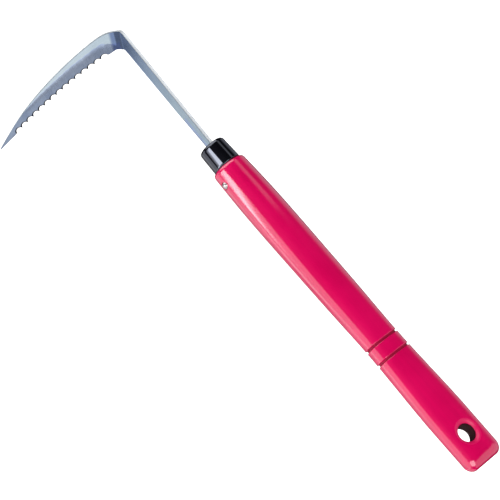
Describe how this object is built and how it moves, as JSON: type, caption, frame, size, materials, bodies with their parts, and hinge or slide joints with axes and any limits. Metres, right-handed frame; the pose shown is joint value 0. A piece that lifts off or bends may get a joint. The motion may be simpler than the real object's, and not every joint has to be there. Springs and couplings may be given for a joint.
{
  "type": "hand sickle",
  "caption": "Hand weeding sickle: a curved saw-toothed steel blade folded from its own flat shank, black ferrule, and a glossy lacquered handle with grip grooves and a hanging hole.",
  "frame": {"origin": "centre of the hanging hole, on the handle's own axis", "axes": "+X along the handle towards the blade, +Y along the hanging hole towards the side the blade reaches out to, +Z square to the shank's broad face, on the pin-head side"},
  "size_m": [0.3613, 0.0964, 0.0799],
  "materials": {
    "steel": "ground and lightly polished",
    "black_plastic": "gloss black",
    "red_lacquer": "turned wood under crimson gloss lacquer",
    "pin_steel": "domed and polished"
  },
  "bodies": {
    "root": {"blade": "steel", "ferrule": "black_plastic", "handle": "red_lacquer", "pin": "pin_steel"}
  },
  "joints": []
}
